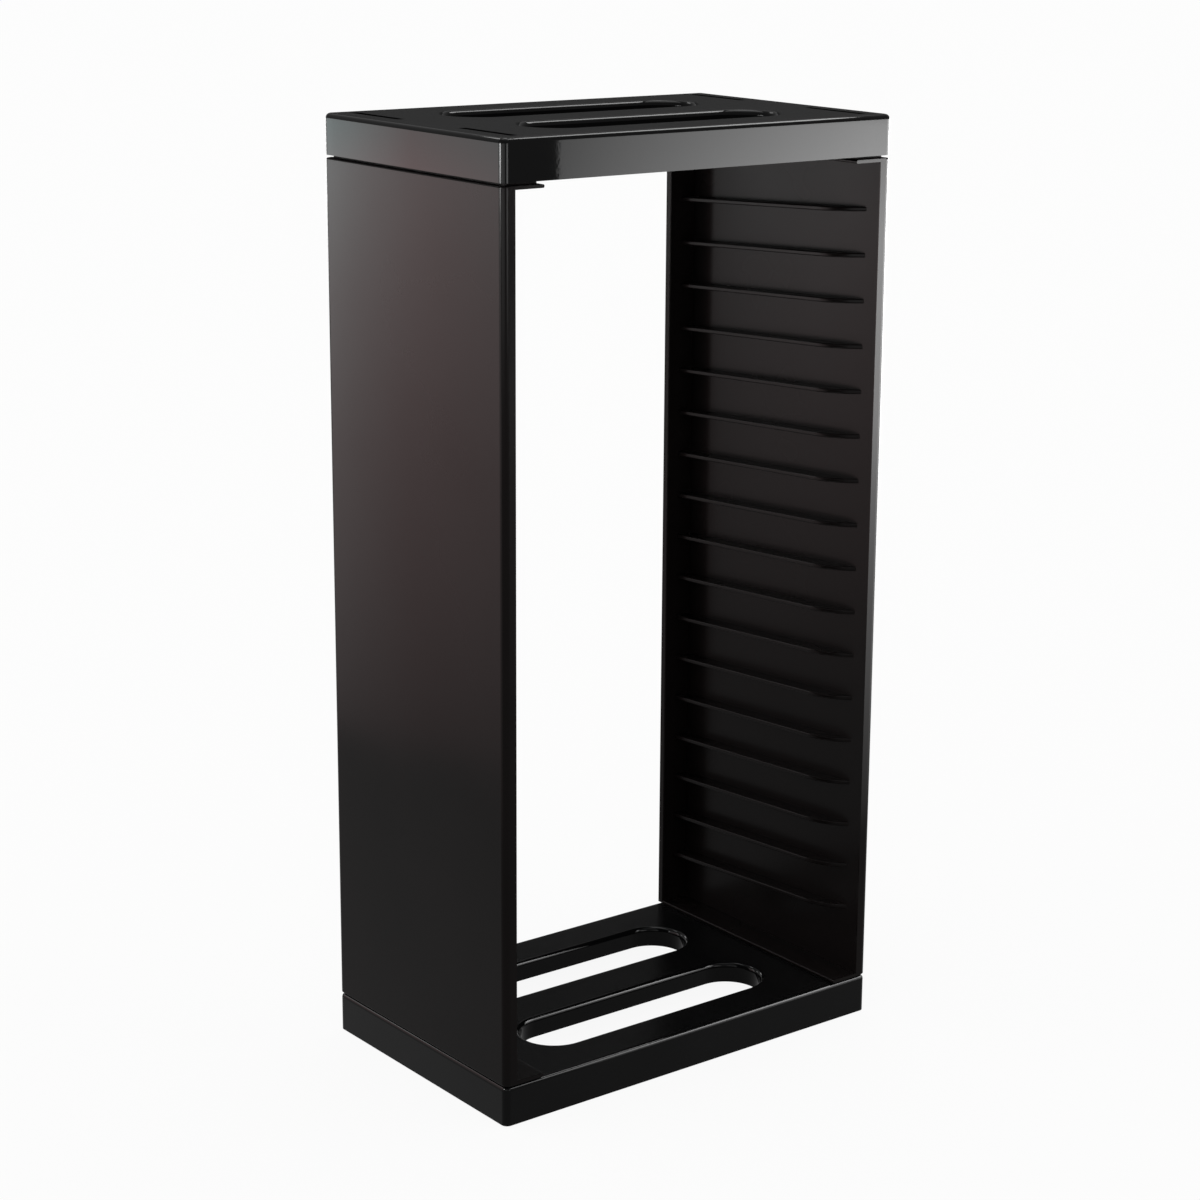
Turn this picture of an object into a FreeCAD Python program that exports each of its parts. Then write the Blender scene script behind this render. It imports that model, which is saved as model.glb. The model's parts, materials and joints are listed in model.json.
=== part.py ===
import FreeCAD, Part
import math
import os

from FreeCAD import Vector

# Stackable media rack of moulded plastic, in millimetres.
# Two equal trays (cap and base) are joined by two mirrored side panels with ledges.
# X runs left to right, Y front to back, Z up. The origin is on the floor, under the middle.

# Overall plan, shared by the trays and the panels
width = 188.0
depth = 119.2
base_gap = 0.4
cap_gap = 1.2
corner_round = 2.6

# Tray
tray_height = 16.0
plate = 2.5
skirt = 2.5
top_edge_round = 1.9

# Long slots in the plate
slot_length = 119.5
slot_width = 28.5
slot_spacing = 51.0
collar_wall = 2.0
collar_drop = 6.0
slot_lip_round = 2.0

# Side panel
panel_height = 345.9
wall = 5.5
flange_reach = 12.8
end_flange = 1.3
rear_flange = 3.2
flange_round = 0.5
panel_edge_round = 0.5

# Ledges on the panel's inner face: their spacing, the room above the highest and the least below the lowest
ledge_pitch = 18.5
top_room = 19.3
least_bottom_room = 25.0
ledge_reach = 7.0
ledge_thickness = 1.8
ledge_drop_angle = 3.4
ledge_setback = 7.5
ledge_lead = 19.0
ledge_edge_round = 0.5

# Neck on top of the panel, which plugs into the tray above
neck_clearance = 0.3
neck_wall = 2.0
neck_setback = 1.5

# Catch on the neck and its opening in the tray's rib
rib = 2.0
rib_depth = 9.0
catch_length = 20.0
catch_height = 3.0
catch_reach = 1.1
catch_drop = 3.5
catch_clearance = 0.3

# Windows in the plate and the hooks that snap through them
window_length = 33.0
window_width = 3.4
window_inset = 6.5
hook_clearance = 0.4
barb_reach = 1.2
barb_height = 2.6
barb_clearance = 0.2

# Foot pads and their bosses
pad_diameter = 5.0
pad_thickness = 1.7
pad_proud = 0.5
pad_clearance = 0.2
boss_wall = 0.9
pad_inset_x = 22.0
pad_inset_y = 5.5

# Places worked out from the sizes above
half_width = width / 2
half_depth = depth / 2
base_bottom = pad_proud
base_top = base_bottom + tray_height
panel_bottom = base_top + base_gap
panel_top = panel_bottom + panel_height
cap_bottom = panel_top + cap_gap
inner_face = half_width - wall
flange_edge = inner_face - flange_reach
highest_ledge = panel_top - top_room
ledge_count = int((panel_height - top_room - least_bottom_room) / ledge_pitch) + 1
neck_outer = half_width - skirt - neck_clearance
neck_inner = flange_edge + neck_setback
neck_half_depth = half_depth - skirt - neck_clearance
neck_height = cap_gap + tray_height - plate
neck_middle = (neck_outer + neck_inner) / 2
hook_half_length = window_length / 2 - hook_clearance
hook_half_width = window_width / 2 - hook_clearance
window_middle = half_depth - window_inset - window_length / 2
pad_recess = pad_thickness - pad_proud


def block(x_low, x_high, y_low, y_high, z_low, z_high):
    size = (x_high - x_low, y_high - y_low, z_high - z_low)
    return Part.makeBox(*size, Vector(x_low, y_low, z_low))


def joined(first, others):
    return first.fuse(others).removeSplitter()


def stadium(length, breadth, y_middle, z_low, height):
    """Round-ended bar that lies along X."""
    radius = breadth / 2
    reach = length / 2 - radius
    corners = [Vector(-reach, y_middle - radius, z_low), Vector(reach, y_middle - radius, z_low),
               Vector(reach, y_middle + radius, z_low), Vector(-reach, y_middle + radius, z_low)]
    right_end = Vector(reach + radius, y_middle, z_low)
    left_end = Vector(-reach - radius, y_middle, z_low)
    edges = [Part.LineSegment(corners[0], corners[1]).toShape(),
             Part.Arc(corners[1], right_end, corners[2]).toShape(),
             Part.LineSegment(corners[2], corners[3]).toShape(),
             Part.Arc(corners[3], left_end, corners[0]).toShape()]
    return Part.Face(Part.Wire(edges)).extrude(Vector(0, 0, height))


def edges_in(shape, low, high):
    """Edges whose whole length lies in the box from low to high."""
    found = []
    for edge in shape.Edges:
        box = edge.BoundBox
        starts = (box.XMin >= low[0], box.YMin >= low[1], box.ZMin >= low[2])
        ends = (box.XMax <= high[0], box.YMax <= high[1], box.ZMax <= high[2])
        if all(starts) and all(ends):
            found.append(edge)
    return found


def upright(edge):
    box = edge.BoundBox
    return box.ZLength > box.XLength + box.YLength


def tray(bottom):
    """Plate with a skirt, two collared slots, four windows, two ribs and four bosses."""
    top = bottom + tray_height
    underside = top - plate
    body = block(-half_width, half_width, -half_depth, half_depth, bottom, top)
    body = body.makeFillet(corner_round, [edge for edge in body.Edges if upright(edge)])
    near_top = top_edge_round / 2
    rim = edges_in(body, (-width, -depth, top - near_top), (width, depth, top + near_top))
    body = body.makeFillet(top_edge_round, rim)
    inside = block(skirt - half_width, half_width - skirt, skirt - half_depth, half_depth - skirt,
                   bottom, underside)
    body = body.cut(inside)

    added = []
    for side in (-1, 1):
        middle = side * slot_spacing / 2
        added.append(stadium(slot_length + 2 * collar_wall, slot_width + 2 * collar_wall, middle,
                             underside - collar_drop, collar_drop))
        added.append(socket_rib(side, underside))
        for end in (-1, 1):
            added.append(pad_boss(side, end, bottom, underside))
    body = joined(body, added)

    removed = []
    for side in (-1, 1):
        middle = side * slot_spacing / 2
        removed.append(stadium(slot_length, slot_width, middle, bottom, tray_height))
        for end in (-1, 1):
            removed.append(window(side, end, underside, top))
            removed.append(pad_recess_hole(side, end, bottom))
    body = body.cut(removed)

    lip = []
    reach_x = slot_length / 2 + near_top
    reach_y = slot_width / 2 + near_top
    for side in (-1, 1):
        middle = side * slot_spacing / 2
        low = (-reach_x, middle - reach_y, top - near_top)
        high = (reach_x, middle + reach_y, top + near_top)
        lip += edges_in(body, low, high)
    return body.makeFillet(slot_lip_round, lip)


def socket_rib(side, underside):
    """Rib that closes the inner side of the neck's socket, with an opening for the catch."""
    outer = neck_inner - neck_clearance
    x_low, x_high = sorted((side * outer, side * (outer - rib)))
    bar = block(x_low, x_high, skirt - half_depth, half_depth - skirt, underside - rib_depth, underside)
    reach = catch_length / 2 + catch_clearance
    z_high = underside - catch_drop + catch_clearance
    z_low = z_high - catch_height - 2 * catch_clearance
    return bar.cut(block(x_low, x_high, -reach, reach, z_low, z_high))


def pad_place(side, end):
    return side * (half_width - pad_inset_x), end * (half_depth - pad_inset_y)


def pad_boss(side, end, bottom, underside):
    x, y = pad_place(side, end)
    radius = pad_diameter / 2 + pad_clearance + boss_wall
    return Part.makeCylinder(radius, underside - bottom, Vector(x, y, bottom))


def pad_recess_hole(side, end, bottom):
    x, y = pad_place(side, end)
    return Part.makeCylinder(pad_diameter / 2 + pad_clearance, pad_recess, Vector(x, y, bottom))


def window(side, end, underside, top):
    x = side * neck_middle
    y = end * window_middle
    return block(x - window_width / 2, x + window_width / 2, y - window_length / 2, y + window_length / 2,
                 underside, top)


def ledge():
    """One ledge of the right panel, level, with the top of its root at height zero."""
    root = inner_face + wall / 2
    edge = inner_face - ledge_reach
    full = ledge_setback + ledge_lead - half_depth
    back = half_depth - rear_flange / 2
    # The lead is an arc that leaves the wall at the setback and runs out along the ledge's free edge
    radius = (ledge_lead ** 2 + ledge_reach ** 2) / (2 * ledge_reach)
    turn = math.acos(1 - (root - edge) / radius)
    middle = Vector(edge + radius * (1 - math.cos(turn / 2)), full - radius * math.sin(turn / 2), 0)
    points = [Vector(edge, full, 0), Vector(edge, back, 0), Vector(root, back, 0),
              Vector(root, full - radius * math.sin(turn), 0)]
    edges = [Part.LineSegment(start, end).toShape() for start, end in zip(points, points[1:])]
    edges.append(Part.Arc(points[-1], middle, points[0]).toShape())
    solid = Part.Face(Part.Wire(edges)).extrude(Vector(0, 0, -ledge_thickness))
    free = []
    for line in solid.Edges:
        box = line.BoundBox
        level = box.ZLength < ledge_thickness / 2
        along = box.XMin < edge + ledge_edge_round and box.YLength > ledge_lead / 2
        if level and along:
            free.append(line)
    return solid.makeFillet(ledge_edge_round, free)


def panel_wall():
    """Flat wall with its outer edges rounded."""
    body = block(inner_face, half_width, -half_depth, half_depth, panel_bottom, panel_top)
    middle = inner_face + wall / 2
    outer = [edge for edge in body.Edges if upright(edge) and edge.BoundBox.XMin > middle]
    body = body.makeFillet(corner_round, outer)
    near = panel_edge_round / 2
    outer_ends = []
    for level in (panel_bottom, panel_top):
        low = (half_width - corner_round - near, -depth, level - near)
        high = (width, depth, level + near)
        outer_ends += edges_in(body, low, high)
    return body.makeFillet(panel_edge_round, outer_ends)


def flanges():
    """Bottom, top and rear flange, one U-shaped frame that stands in from the wall."""
    root = inner_face + wall / 2
    rear = block(flange_edge, root, half_depth - rear_flange, half_depth, panel_bottom, panel_top)
    ends = [block(flange_edge, root, -half_depth, half_depth, panel_bottom, panel_bottom + end_flange),
            block(flange_edge, root, -half_depth, half_depth, panel_top - end_flange, panel_top)]
    frame = joined(rear, ends)
    free = [edge for edge in frame.Edges if edge.BoundBox.XMax < flange_edge + flange_round / 2]
    long_free = [edge for edge in free if edge.Length > 2 * rear_flange]
    return frame.makeFillet(flange_round, long_free)


def right_panel():
    added = [flanges()]
    blank = ledge()
    for number in range(ledge_count):
        piece = blank.copy()
        piece.rotate(Vector(0, -half_depth, 0), Vector(1, 0, 0), -ledge_drop_angle)
        piece.translate(Vector(0, 0, highest_ledge - number * ledge_pitch))
        added.append(piece)
    added.append(neck())
    added.append(plinth())
    for end in (-1, 1):
        added.append(hook(end))
    return joined(panel_wall(), added)


def neck():
    """Hollow tongue that fills the socket of the tray above."""
    top = panel_top + neck_height
    outside = block(neck_inner, neck_outer, -neck_half_depth, neck_half_depth, panel_top, top)
    inside = block(neck_inner + neck_wall, neck_outer - neck_wall, neck_wall - neck_half_depth,
                   neck_half_depth - neck_wall, panel_top, top)
    return outside.cut(inside).fuse(catch(top))


def catch(neck_top):
    """Wedge on the neck's inner side: it slopes out from its top to a square shoulder below."""
    z_high = neck_top - catch_drop
    z_low = z_high - catch_height
    inside = neck_inner + neck_wall / 2
    profile = [Vector(inside, 0, z_low), Vector(neck_inner - catch_reach, 0, z_low),
               Vector(neck_inner, 0, z_high), Vector(inside, 0, z_high)]
    return prism(profile, catch_length, 0)


def prism(profile, length, y_middle):
    """Bar along Y with the given outline in X and Z."""
    outline = Part.makePolygon(profile + [profile[0]])
    outline.translate(Vector(0, y_middle - length / 2, 0))
    return Part.Face(outline).extrude(Vector(0, length, 0))


def plinth():
    return block(neck_inner, neck_outer, -neck_half_depth, neck_half_depth, base_top, panel_bottom)


def hook(end):
    """Tongue with a barb that reaches under the plate of the tray below."""
    x = neck_middle
    y = end * window_middle
    under = base_top - plate - barb_clearance
    low = under - barb_height
    profile = [Vector(x - hook_half_width, 0, panel_bottom), Vector(x - hook_half_width, 0, low),
               Vector(x + hook_half_width, 0, low), Vector(x + hook_half_width + barb_reach, 0, under),
               Vector(x + hook_half_width, 0, under), Vector(x + hook_half_width, 0, panel_bottom)]
    return prism(profile, 2 * hook_half_length, y)


def foot_pad(side, end):
    x, y = pad_place(side, end)
    return Part.makeCylinder(pad_diameter / 2, pad_thickness, Vector(x, y, 0))


def main():
    os.makedirs("parts", exist_ok=True)
    right = right_panel()
    pieces = {
        "base_tray": tray(base_bottom),
        "top_tray": tray(cap_bottom),
        "right_panel": right,
        "left_panel": right.mirror(Vector(0, 0, 0), Vector(1, 0, 0)),
        "foot_pad_front_left": foot_pad(-1, -1),
        "foot_pad_front_right": foot_pad(1, -1),
        "foot_pad_rear_left": foot_pad(-1, 1),
        "foot_pad_rear_right": foot_pad(1, 1),
    }
    for name, shape in pieces.items():
        shape.exportStep("parts/" + name + ".step")
        print(name, "solids", len(shape.Solids), "valid", shape.isValid(), "volume", round(shape.Volume, 1))


main()
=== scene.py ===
import json
import math

import bpy
from mathutils import Matrix, Vector


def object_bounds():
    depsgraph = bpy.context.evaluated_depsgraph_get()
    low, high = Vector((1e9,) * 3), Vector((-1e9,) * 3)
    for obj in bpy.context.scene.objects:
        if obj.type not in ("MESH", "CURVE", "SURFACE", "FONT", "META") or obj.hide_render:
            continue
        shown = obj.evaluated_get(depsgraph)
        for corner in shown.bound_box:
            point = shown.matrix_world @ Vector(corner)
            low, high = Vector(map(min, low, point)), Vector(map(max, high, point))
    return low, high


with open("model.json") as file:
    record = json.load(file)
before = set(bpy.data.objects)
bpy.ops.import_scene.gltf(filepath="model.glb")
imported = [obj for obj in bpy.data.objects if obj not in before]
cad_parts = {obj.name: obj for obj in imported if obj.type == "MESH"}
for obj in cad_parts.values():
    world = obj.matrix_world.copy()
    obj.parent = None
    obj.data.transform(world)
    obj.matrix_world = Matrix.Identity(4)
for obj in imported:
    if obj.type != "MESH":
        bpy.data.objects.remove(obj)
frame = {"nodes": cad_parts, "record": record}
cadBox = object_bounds()
nodes = frame["nodes"]
print("frame loaded:", len(nodes), "nodes")


# Camera, fitted to the rack's corner points in the photo
cameraFit = {
    "eye": (-0.6618, -0.8600, 0.4755),  # metres
    "azimuth": 39.12,  # degrees from +Y towards +X
    "down": 14.41,  # degrees below level
    "roll": 0.76,
    "imageSize": 1200,  # pixels
    "focal": 2760.1,  # pixels
    "principal": (680, 570),  # pixels
    "sensor": 36.0,  # millimetres
}


def addCamera(fit):
    azimuth, down, roll = (math.radians(fit[key]) for key in ("azimuth", "down", "roll"))
    level = math.cos(down)
    forward = Vector((math.sin(azimuth) * level, math.cos(azimuth) * level, -math.sin(down)))
    right = forward.cross(Vector((0, 0, 1))).normalized()
    up = right.cross(forward)
    turnedRight = right * math.cos(roll) + up * math.sin(roll)
    turnedUp = up * math.cos(roll) - right * math.sin(roll)
    data = bpy.data.cameras.new("camera")
    half = fit["imageSize"] / 2
    data.sensor_width = fit["sensor"]
    data.lens = fit["focal"] / fit["imageSize"] * fit["sensor"]
    data.shift_x = (half - fit["principal"][0]) / fit["imageSize"]
    data.shift_y = (fit["principal"][1] - half) / fit["imageSize"]
    camera = bpy.data.objects.new("camera", data)
    bpy.context.scene.collection.objects.link(camera)
    turn = Matrix((turnedRight, turnedUp, -forward)).transposed()
    camera.matrix_world = Matrix.Translation(Vector(fit["eye"])) @ turn.to_4x4()
    bpy.context.scene.camera = camera


addCamera(cameraFit)
print("camera placed")


# Shader helpers
def newMaterial(name):
    material = bpy.data.materials.new(name)
    material.use_nodes = True
    material.node_tree.nodes.clear()
    return material, material.node_tree


def addNode(tree, kind, **inputs):
    made = tree.nodes.new(kind)
    for key, value in inputs.items():
        made.inputs[key.replace("_", " ")].default_value = value
    return made


def addMath(tree, operation, *values, kind="ShaderNodeMath"):
    node = tree.nodes.new(kind)
    node.operation = operation
    for value, socket in zip(values, node.inputs):
        tree.links.new(value, socket)
    return node


def addNoise(tree, coordinates, scale, detail=3.0):
    noise = addNode(tree, "ShaderNodeTexNoise", Scale=scale, Detail=detail)
    tree.links.new(coordinates, noise.inputs["Vector"])
    return noise.outputs["Fac"]


def addBump(tree, height, depth, strength):
    bump = addNode(tree, "ShaderNodeBump", Strength=strength, Distance=depth)
    tree.links.new(height, bump.inputs["Height"])
    return bump


def mapRange(tree, value, low, high, fromLow, fromHigh):
    node = addNode(tree, "ShaderNodeMapRange", From_Min=fromLow, From_Max=fromHigh, To_Min=low, To_Max=high)
    tree.links.new(value, node.inputs["Value"])
    return node.outputs["Result"]


def spread(tree, noise, low, high):
    # Most of a noise lies between 0.3 and 0.7
    return mapRange(tree, noise, low, high, 0.3, 0.7)


def pick(tree, mask, unmasked, masked):
    mix = tree.nodes.new("ShaderNodeMix")
    for value, name in ((mask, "Factor"), (unmasked, "A"), (masked, "B")):
        tree.links.new(value, mix.inputs[name])
    return mix.outputs["Result"]


def splitXYZ(tree, vector):
    split = tree.nodes.new("ShaderNodeSeparateXYZ")
    tree.links.new(vector, split.inputs["Vector"])
    return split.outputs


def setSurface(tree, shader):
    output = tree.nodes.new("ShaderNodeOutputMaterial")
    tree.links.new(shader, output.inputs["Surface"])


# Black moulded plastic: gloss on the trays, a little softer and browner on the panels
plastics = {
    "tray_plastic": {
        "dark": (0.0024, 0.0024, 0.0025),
        "light": (0.0036, 0.0036, 0.0037),
        "level": 0.05,
        "roughness": (0.025, 0.04),
        "upperRoughness": (0.22, 0.27),
        "waveStrength": 0.07,
    },
    "panel_plastic": {
        "dark": (0.0037, 0.0029, 0.0028),
        "light": (0.0052, 0.0040, 0.0039),
        "level": 0.035,
        "roughness": (0.13, 0.18),
        "upperRoughness": (0.13, 0.18),
        "innerRoughness": (0.24, 0.29),
        "inside": (0.0053, 0.0007),  # metres in from the outer faces, at the sides and at front and back
        "waveStrength": 0.10,
    },
}
mouldTexture = {
    "flow": 14.0,  # the scales of the noises, per metre
    "wave": 35.0,
    "grain": 900.0,
    "waveDetail": 1.0,
    "grainDetail": 2.0,
    "waveDepth": 0.0002,  # metres
    "grainDepth": 0.00002,
    "grainStrength": 0.15,
    "facingUp": (0.9, 1.0),  # Z of the normal where the duller top begins, and where it is full
    "recess": 0.004,  # metres
    "recessOpen": (0.15, 0.45),  # open share of a recess that is all matt, and that is not matt at all
    "matt": 0.9,
}


def insideOf(tree, coordinates, skins):
    # 1 deeper in from the rack's sides, front and back than the two skins, else 0
    place = splitXYZ(tree, coordinates)
    tests = []
    for axis, outer, skin in zip("XY", cadBox[1], skins):
        distance = addMath(tree, "ABSOLUTE", place[axis])
        test = addMath(tree, "LESS_THAN", distance.outputs[0])
        test.inputs[1].default_value = outer - skin
        tests.append(test.outputs[0])
    return addMath(tree, "MULTIPLY", *tests).outputs[0]


def plasticColour(tree, flow, dark, light):
    colour = tree.nodes.new("ShaderNodeMix")
    colour.data_type = "RGBA"
    colour.inputs["A"].default_value = (*dark, 1)
    colour.inputs["B"].default_value = (*light, 1)
    tree.links.new(spread(tree, flow, 0, 1), colour.inputs["Factor"])
    return colour.outputs["Result"]


def plasticRoughness(tree, place, flow, values, texture):
    # A little duller on top of the plates, and on the walls where the cases slide
    normal = splitXYZ(tree, tree.nodes.new("ShaderNodeTexCoord").outputs["Normal"])
    facingUp = mapRange(tree, normal["Z"], 0, 1, *texture["facingUp"])
    walls = spread(tree, flow, *values["roughness"])
    roughness = pick(tree, facingUp, walls, spread(tree, flow, *values["upperRoughness"]))
    if "inside" in values:
        inner = insideOf(tree, place, values["inside"])
        roughness = pick(tree, inner, roughness, spread(tree, flow, *values["innerRoughness"]))
    # No polish down in the gaps and corners
    recess = addNode(tree, "ShaderNodeAmbientOcclusion", Distance=texture["recess"])
    closed = mapRange(tree, recess.outputs["AO"], 1, 0, *texture["recessOpen"])
    matt = addNode(tree, "ShaderNodeMix", B=texture["matt"])
    tree.links.new(closed, matt.inputs["Factor"])
    tree.links.new(roughness, matt.inputs["A"])
    return matt.outputs["Result"]


def mouldedPlastic(name, values, texture):
    material, tree = newMaterial(name)
    place = tree.nodes.new("ShaderNodeTexCoord").outputs["Object"]
    flow = addNoise(tree, place, texture["flow"])
    waves = addNoise(tree, place, texture["wave"], detail=texture["waveDetail"])
    speckle = addNoise(tree, place, texture["grain"], detail=texture["grainDetail"])
    wave = addBump(tree, waves, texture["waveDepth"], values["waveStrength"])
    grain = addBump(tree, speckle, texture["grainDepth"], texture["grainStrength"])
    tree.links.new(wave.outputs["Normal"], grain.inputs["Normal"])
    surface = addNode(tree, "ShaderNodeBsdfPrincipled", Specular_IOR_Level=values["level"])
    colour = plasticColour(tree, flow, values["dark"], values["light"])
    roughness = plasticRoughness(tree, place, flow, values, texture)
    tree.links.new(colour, surface.inputs["Base Color"])
    tree.links.new(roughness, surface.inputs["Roughness"])
    tree.links.new(grain.outputs["Normal"], surface.inputs["Normal"])
    setSurface(tree, surface.outputs["BSDF"])
    return material


# Matt rubber of the foot pads
rubber = {
    "colour": (0.03, 0.03, 0.03),
    "grain": 1500.0,  # per metre
    "grainDepth": 0.00005,  # metres
    "grainStrength": 0.4,
    "roughness": (0.65, 0.85),
}


def padRubber(values):
    material, tree = newMaterial("pad_rubber")
    place = tree.nodes.new("ShaderNodeTexCoord").outputs["Object"]
    grain = addNoise(tree, place, values["grain"])
    bump = addBump(tree, grain, values["grainDepth"], values["grainStrength"])
    surface = addNode(tree, "ShaderNodeBsdfPrincipled", Base_Color=(*values["colour"], 1))
    tree.links.new(spread(tree, grain, *values["roughness"]), surface.inputs["Roughness"])
    tree.links.new(bump.outputs["Normal"], surface.inputs["Normal"])
    setSurface(tree, surface.outputs["BSDF"])
    return material


materials = {name: mouldedPlastic(name, values, mouldTexture) for name, values in plastics.items()}
materials["pad_rubber"] = padRubber(rubber)
for row in frame["record"]["subparts"]:
    piece = nodes[row["node"]]
    piece.data.materials.clear()
    piece.data.materials.append(materials[row["material_slot"]])
print("materials given")


# Pale floor and plain world, both white where they are seen straight, in gloss or through glass
paper = {
    "size": 16.0,
    "colour": (0.86, 0.86, 0.855),
    "glow": 0.92,  # share of white that is mixed in where the floor is seen
}
skyStrength = 0.85


def seenPlainly(tree):
    path = tree.nodes.new("ShaderNodeLightPath").outputs
    either = addMath(tree, "ADD", path["Is Camera Ray"], path["Is Glossy Ray"])
    anyOf = addMath(tree, "ADD", either.outputs[0], path["Is Transmission Ray"])
    anyOf.use_clamp = True
    return anyOf.outputs[0]


def addFloor(values):
    bpy.ops.mesh.primitive_plane_add(size=values["size"])
    floor = bpy.context.object
    floor.name = "floor"
    material, tree = newMaterial("floor_paper")
    lit = addNode(tree, "ShaderNodeBsdfDiffuse", Color=(*values["colour"], 1))
    white = addNode(tree, "ShaderNodeEmission", Strength=1.0)
    mix = tree.nodes.new("ShaderNodeMixShader")
    tree.links.new(mapRange(tree, seenPlainly(tree), 0, values["glow"], 0, 1), mix.inputs["Fac"])
    tree.links.new(lit.outputs["BSDF"], mix.inputs[1])
    tree.links.new(white.outputs["Emission"], mix.inputs[2])
    setSurface(tree, mix.outputs["Shader"])
    floor.data.materials.append(material)


def addWorld(strength):
    world = bpy.data.worlds.new("studio")
    world.use_nodes = True
    tree = world.node_tree
    sky = tree.nodes["Background"]
    sky.inputs["Color"].default_value = (1, 1, 1, 1)
    tree.links.new(mapRange(tree, seenPlainly(tree), strength, 1.0, 0, 1), sky.inputs["Strength"])
    bpy.context.scene.world = world


addFloor(paper)
addWorld(skyStrength)
print("floor and world made")


# Cards that only show in the gloss. Each stands upright between two points, anticlockwise round the rack,
# in metres. across and up are its light along it and up from its foot: stops of place, share and warmth.
even = ((0.0, 1.0, 0.0),)
upperHalf = (
    (0.3, 0.0, 0.0),
    (0.46, 1.0, 0.0),
    (0.53, 0.8, 0.0),
    (0.57, 0.0, 0.0),
)
cards = {
    "frontRight": {
        "start": (0.127, -0.325),
        "end": (0.41, -0.145),
        "low": 0.0,
        "high": 0.65,
        "radiance": 60.0,
        "across": ((0.0, 0.28, 0.0), (0.45, 1.0, 0.0)),
        "up": (
            (0.0, 0.03, 0.0),
            (0.18, 0.24, 0.0),
            (0.26, 0.40, 0.0),
            (0.33, 0.76, 0.0),
            (0.46, 1.0, 0.0),
            (0.525, 0.77, 0.0),
            (0.545, 0.7, 0.0),
            (0.565, 0.0, 0.0),
        ),
    },
    "frontRim": {
        "start": (0.78, -0.35),
        "end": (0.78, 0.15),
        "low": 1.15,
        "high": 1.6,
        "radiance": 28.0,
        "across": even,
        "up": even,
    },
    "backLeft": {
        "start": (-0.29, 0.4855),
        "end": (-0.44, -0.02),
        "low": 0.0,
        "high": 0.65,
        "radiance": 16.0,
        "across": (
            (0.02, 0.0, 0.0),
            (0.05, 0.9, 0.0),
            (0.11, 1.0, 0.0),
            (0.16, 0.61, 0.05),
            (0.26, 0.46, 0.30),
            (0.38, 0.42, 0.15),
            (1.0, 0.4, 0.0),
        ),
        "up": (
            (0.0, 0.08, 0.25),
            (0.25, 0.40, 0.13),
            (0.38, 0.68, 0.05),
            (0.486, 1.0, -0.04),
            (0.52, 0.82, -0.20),
            (0.54, 0.7, -0.05),
            (0.565, 0.0, 0.0),
        ),
    },
    "rimGlint": {
        "start": (0.10, 0.90),
        "end": (-0.30, 0.90),
        "low": 1.05,
        "high": 1.3,
        "radiance": 8.0,
        "across": even,
        "up": even,
    },
    "leftGlint": {
        "start": (-0.55, 0.19),
        "end": (-0.60, -0.02),
        "low": 0.29,
        "high": 0.44,
        "radiance": 90.0,
        "across": even,
        "up": ((0.0, 0.0, 0.0), (0.2, 1.0, 0.0)),
    },
    "right": {
        "start": (0.50, -0.14),
        "end": (0.50, 0.28),
        "low": 0.0,
        "high": 0.65,
        "radiance": 26.0,
        "across": ((0.0, 0.4, 0.0), (0.7, 1.0, 0.0)),
        "up": (
            (0.0, 0.05, 0.0),
            (0.3, 0.45, 0.0),
            (0.46, 1.0, 0.0),
            (0.53, 0.8, 0.0),
            (0.57, 0.0, 0.0),
        ),
    },
    "back": {
        "start": (0.19, 0.60),
        "end": (-0.19, 0.60),
        "low": 0.0,
        "high": 0.65,
        "radiance": 10.0,
        "across": (
            (0.0, 1.0, 0.0),
            (0.18, 1.0, 0.0),
            (0.3, 0.0, 0.0),
            (0.7, 0.0, 0.0),
            (0.82, 1.0, 0.0),
        ),
        "up": upperHalf,
    },
    "front": {
        "start": (-0.16, -0.62),
        "end": (0.12, -0.62),
        "low": 0.0,
        "high": 0.65,
        "radiance": 20.0,
        "across": ((0.0, 0.5, 0.0), (1.0, 1.0, 0.0)),
        "up": upperHalf,
    },
    "leftFront": {
        "start": (-0.60, -0.10),
        "end": (-0.34, -0.52),
        "low": 0.0,
        "high": 0.65,
        "radiance": 9.0,
        "across": ((0.0, 1.0, 0.0), (1.0, 0.5, 0.0)),
        "up": upperHalf,
    },
}
ceilingCard = {
    "height": 1.4,
    "size": (1.1, 1.1),
    "radiance": 12.0,
    "across": ((0.0, 0.3, 0.0), (1.0, 1.0, 0.0)),
    "up": ((0.0, 0.3, 0.0), (1.0, 1.0, 0.0)),
}


def addRamp(tree, value, stops):
    node = tree.nodes.new("ShaderNodeValToRGB")
    elements = node.color_ramp.elements
    elements.remove(elements[1])
    for number, (place, light, warmth) in enumerate(stops):
        element = elements.new(place) if number else elements[0]
        element.position = place
        element.color = (light, light * (1 - warmth), light * (1 - warmth), 1)
    tree.links.new(value, node.inputs["Fac"])
    return node.outputs["Color"]


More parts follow.
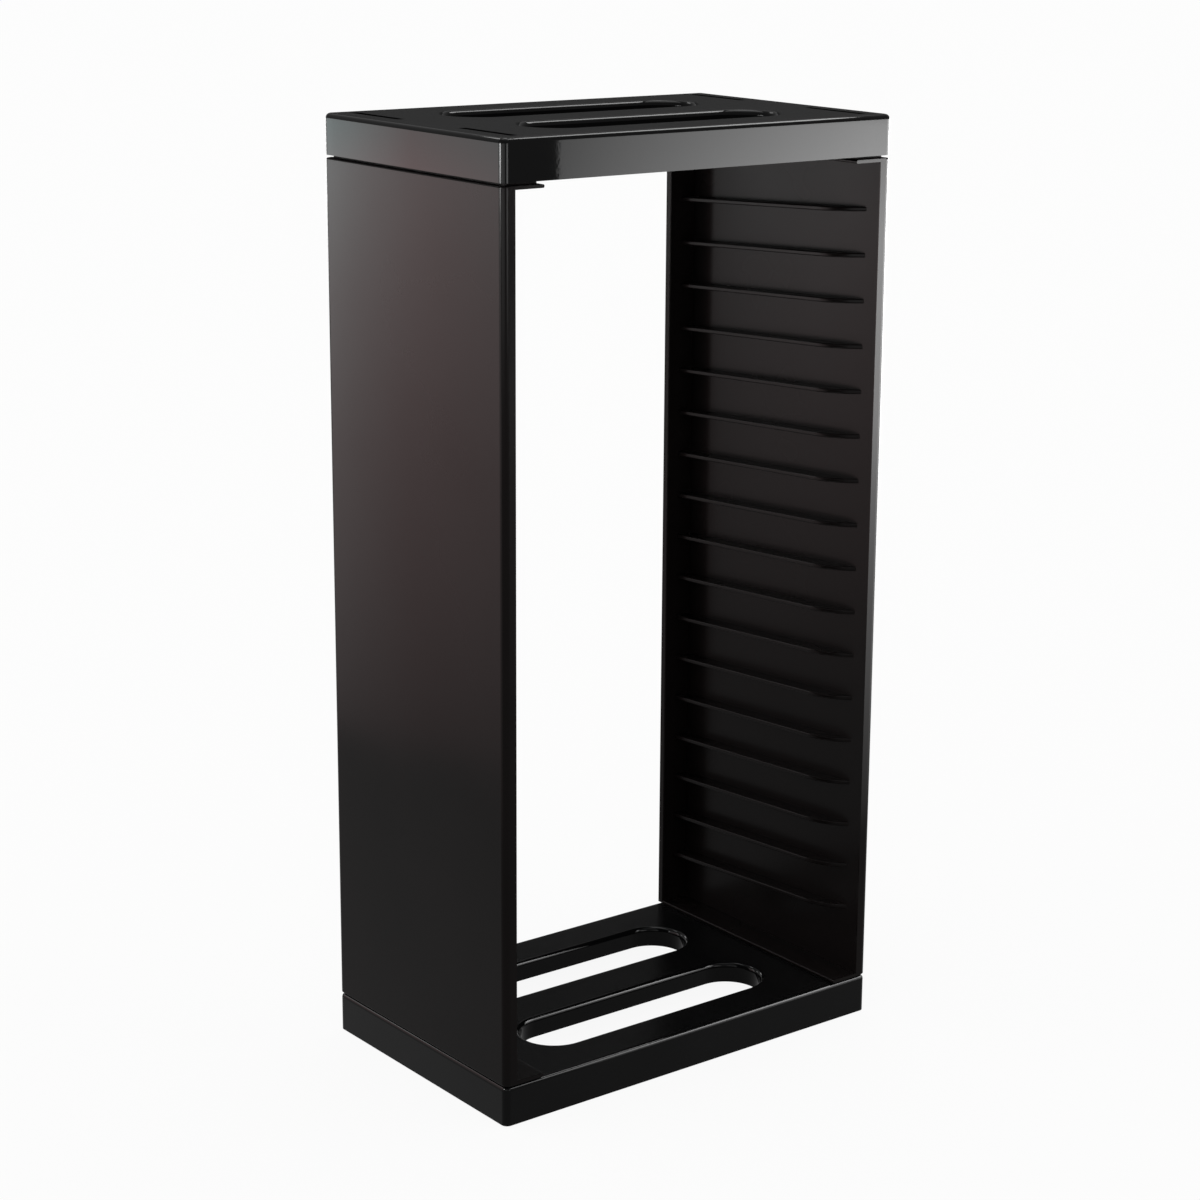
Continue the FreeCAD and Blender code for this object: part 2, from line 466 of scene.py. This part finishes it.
def glossLamp(name, size, values):
    data = bpy.data.lights.new(name, "AREA")
    data.shape = "RECTANGLE"
    data.size, data.size_y = size
    data.energy = values["radiance"] * math.pi * size[0] * size[1]
    data.use_nodes = True
    tree = data.node_tree
    place = splitXYZ(tree, tree.nodes.new("ShaderNodeNewGeometry").outputs["Parametric"])
    across = addRamp(tree, place["X"], values["across"])
    up = addRamp(tree, place["Y"], values["up"])
    both = addMath(tree, "MULTIPLY", across, up, kind="ShaderNodeVectorMath")
    tree.links.new(both.outputs[0], tree.nodes["Emission"].inputs["Color"])
    lamp = bpy.data.objects.new(name, data)
    bpy.context.scene.collection.objects.link(lamp)
    lamp.visible_camera = False
    lamp.visible_diffuse = False
    return lamp


def addCard(name, values):
    start, end = Vector((*values["start"], 0)), Vector((*values["end"], 0))
    along = (end - start).normalized()
    lamp = glossLamp(name, ((end - start).length, values["high"] - values["low"]), values)
    lamp.location = (start + end) / 2 + Vector((0, 0, (values["low"] + values["high"]) / 2))
    lamp.rotation_euler = Vector((-along.y, along.x, 0)).to_track_quat("-Z", "Y").to_euler()


for name, values in cards.items():
    addCard(name, values)
ceiling = glossLamp("overhead", ceilingCard["size"], ceilingCard)
ceiling.location.z = ceilingCard["height"]
print("cards hung:", len(cards) + 1)


# Grey flag behind, darkest low down, where the cap's top mirrors it, and lighter above for the base plate
flagCloth = {
    "at": (1.45, 1.75, 0.98),  # metres
    "size": (2.4, 1.25),
    "grey": (0.06, 0.15),
    "fade": (0.12, 0.68),  # share of its height where the fade begins and ends
}


def addFlag(values):
    bpy.ops.mesh.primitive_plane_add(size=1, location=values["at"])
    flag = bpy.context.object
    flag.name = "flag"
    flag.scale = (*values["size"], 1)
    away = Vector((values["at"][0], values["at"][1], 0))
    flag.rotation_euler = (-away).to_track_quat("Z", "Y").to_euler()
    material, tree = newMaterial("flag_cloth")
    place = splitXYZ(tree, tree.nodes.new("ShaderNodeTexCoord").outputs["UV"])
    surface = addNode(tree, "ShaderNodeEmission")
    tree.links.new(mapRange(tree, place["Y"], *values["grey"], *values["fade"]), surface.inputs["Strength"])
    setSurface(tree, surface.outputs["Emission"])
    flag.data.materials.append(material)
    flag.visible_camera = False
    flag.visible_diffuse = False


addFlag(flagCloth)
bpy.context.scene.view_settings.view_transform = "Standard"
print("studio lit")
